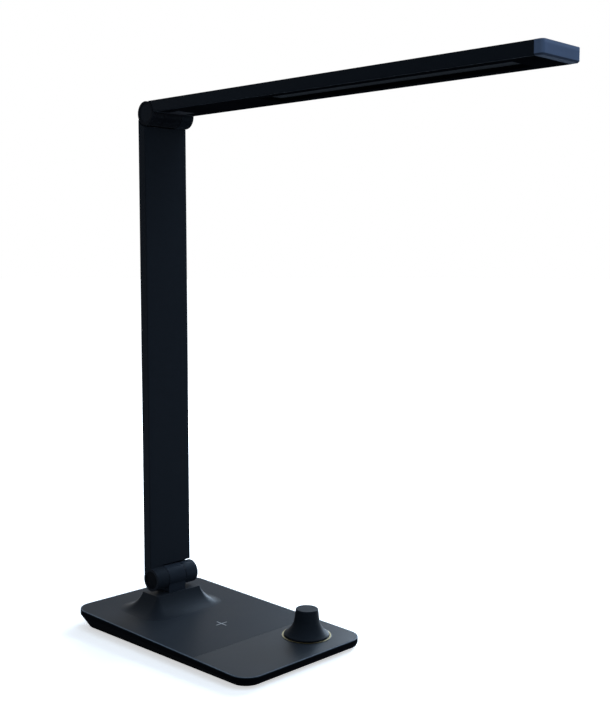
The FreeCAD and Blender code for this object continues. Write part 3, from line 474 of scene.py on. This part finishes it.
def bare_metals():
    """Steel and bronze pieces."""
    grained("screw_steel", dark=(0.02, 0.02, 0.022), light=(0.035, 0.035, 0.038),
            rough=(0.35, 0.5), grain=1500.0, depth=0.01 * MM, edge=0.1 * MM, Metallic=1.0).on(
        "tray_screws", "ballast_screws", "control_board_screws", "power_board_screws", "neck_screws",
        "arm_screws", "hinge_block_screws")
    grained("shaft_steel", dark=(0.42, 0.42, 0.43), light=(0.55, 0.55, 0.56),
            rough=(0.22, 0.34), grain=900.0, depth=0.006 * MM, edge=0.1 * MM, Metallic=1.0).on(
        "encoder_shaft", "lower_hinge_shaft", "upper_hinge_shaft", "lower_friction_washers",
        "upper_friction_washers", "lower_disc_springs", "upper_disc_springs", "lower_hinge_nut",
        "upper_hinge_nut")
    grained("inlet_steel", dark=(0.4, 0.4, 0.4), light=(0.5, 0.5, 0.5), rough=(0.25, 0.35),
            grain=900.0, depth=0.005 * MM, edge=0.05 * MM, Metallic=1.0).on("power_inlet")
    grained("bush_bronze", dark=(0.3, 0.19, 0.08), light=(0.42, 0.28, 0.13), rough=(0.4, 0.55),
            grain=1400.0, depth=0.02 * MM, Metallic=1.0).on("lower_hinge_bush", "upper_hinge_bush")
    grained("ballast_steel", dark=(0.32, 0.32, 0.33), light=(0.42, 0.42, 0.43), rough=(0.35, 0.5),
            grain=500.0, depth=0.02 * MM, edge=0.2 * MM, Metallic=1.0).on("ballast_plate")


def led_finishes():
    """White board and amber chips behind the diffuser."""
    grained("led_board_white", dark=(0.6, 0.6, 0.59), light=(0.68, 0.68, 0.67), rough=(0.3, 0.4),
            grain=700.0, depth=0.01 * MM).on("led_board")
    grained("led_amber", dark=(0.72, 0.5, 0.1), light=(0.82, 0.62, 0.16), rough=(0.2, 0.3),
            grain=1200.0, depth=0.01 * MM).on("led_chips")


def floor_mesh():
    """Flat disc of rings and spokes: x = r cos a, y = r sin a, where r grows as the ring's share squared."""
    r = np.linspace(0.0, 1.0, FLOOR_RINGS)[:, None] ** 2 * FLOOR_R
    a = np.linspace(0.0, 2 * math.pi, FLOOR_SPOKES, endpoint=False)[None, :]
    flat = np.zeros((FLOOR_RINGS, FLOOR_SPOKES))
    points = np.stack([r * np.cos(a), r * np.sin(a), flat], -1).reshape(-1, 3)
    ring, spoke = np.meshgrid(np.arange(FLOOR_RINGS - 1), np.arange(FLOOR_SPOKES), indexing="ij")
    inner = ring * FLOOR_SPOKES
    outer = inner + FLOOR_SPOKES
    after = (spoke + 1) % FLOOR_SPOKES
    quads = np.stack([inner + spoke, outer + spoke, outer + after, inner + after], -1).reshape(-1, 4)
    mesh = bpy.data.meshes.new("floor")
    mesh.from_pydata(points.tolist(), [], quads.tolist())
    return mesh


def floor_and_backdrop():
    """Pale floor: white to the eye, in gloss and through glass, dim as a bounce. It keeps the shadow."""
    mesh = floor_mesh()
    floor = bpy.data.objects.new("floor", mesh)
    scene.collection.objects.link(floor)
    paint = bpy.data.materials.new("floor_pale")
    paint.use_nodes = True
    made = Nodes(paint.node_tree)
    seen = made.seen_rays()
    matte = made.add("ShaderNodeBsdfDiffuse")
    made.join(made.blend(seen, FLOOR_BOUNCE, FLOOR_SEEN), matte.inputs["Color"])
    away = made.vector_work("LENGTH", made.add("ShaderNodeTexCoord").outputs["Object"])
    whiter = made.span(away, FLOOR_NEAR_R, FLOOR_FAR_R, FLOOR_GLOW_NEAR, 1.0)
    glow = made.add("ShaderNodeEmission")
    made.join(made.work("MULTIPLY", seen, whiter), glow.inputs["Strength"])
    both = made.add("ShaderNodeAddShader")
    made.join(matte.outputs["BSDF"], both.inputs[0])
    made.join(glow.outputs["Emission"], both.inputs[1])
    made.join(both.outputs["Shader"], made.add("ShaderNodeOutputMaterial").inputs["Surface"])
    mesh.materials.append(paint)


def sky():
    """White surround to the eye, in gloss and through glass; as a fill it is cool, and dim to the left rear
    and overhead."""
    world = bpy.data.worlds.new("studio")
    scene.world = world
    world.use_nodes = True
    made = Nodes(world.node_tree)
    towards = made.add("ShaderNodeTexCoord").outputs["Generated"]
    to_dark_side = made.vector_work("DOT_PRODUCT", towards, DARK_SIDE)
    by_side = made.span(to_dark_side, *DARK_SIDE_RANGE, FILL_BRIGHT, FILL_DIM)
    by_height = made.span(made.coordinate("Z", towards), *OVERHEAD_RANGE, 1.0, FILL_OVERHEAD_SHARE)
    fill = made.add("ShaderNodeBackground")
    fill.inputs["Color"].default_value = COOL
    made.join(made.work("MULTIPLY", by_side, by_height), fill.inputs["Strength"])
    paper = made.add("ShaderNodeBackground")
    paper.inputs["Color"].default_value = WHITE
    either = made.add("ShaderNodeMixShader")
    made.join(made.seen_rays(), either.inputs["Fac"])
    made.join(fill.outputs["Background"], either.inputs[1])
    made.join(paper.outputs["Background"], either.inputs[2])
    made.join(either.outputs["Shader"], made.add("ShaderNodeOutputWorld").inputs["Surface"])


def softbox(name, place, aim, power):
    """Square soft light that shines from a place at a point."""
    lamp = bpy.data.lights.new(name, "AREA")
    lamp.shape = "SQUARE"
    lamp.size = SOFTBOX_SIZE
    lamp.energy = power
    lamp.color = COOL[:3]
    made = bpy.data.objects.new(name, lamp)
    scene.collection.objects.link(made)
    away = np.array(place) - np.array(aim)
    flat = math.hypot(away[0], away[1])
    made.location = place
    made.rotation_euler = (math.atan2(flat, away[2]), 0.0, math.atan2(away[0], -away[1]))
    made.visible_camera = False


def camera():
    """Camera at the photograph's place and angle."""
    lens = bpy.data.cameras.new("camera")
    lens.lens = CAMERA_LENS
    lens.sensor_width = SENSOR
    lens.sensor_fit = "AUTO"
    lens.clip_start = CAMERA_NEAR
    made = bpy.data.objects.new("camera", lens)
    scene.collection.objects.link(made)
    made.location = CAMERA_PLACE
    made.rotation_euler = (math.radians(CAMERA_PITCH_DEG), 0.0, math.radians(CAMERA_TURN_DEG))
    scene.camera = made


for finish in (cover_satin, panel_gloss, dial_black, ring_gold, arm_black, hinge_black, diffuser_frost,
               end_smoke, coil_copper, board_green, black_mouldings, bare_metals, led_finishes):
    finish()
floor_and_backdrop()
sky()
softbox("key", KEY_PLACE, KEY_AIM, KEY_POWER)
softbox("rear_right", REAR_PLACE, REAR_AIM, REAR_POWER)
camera()
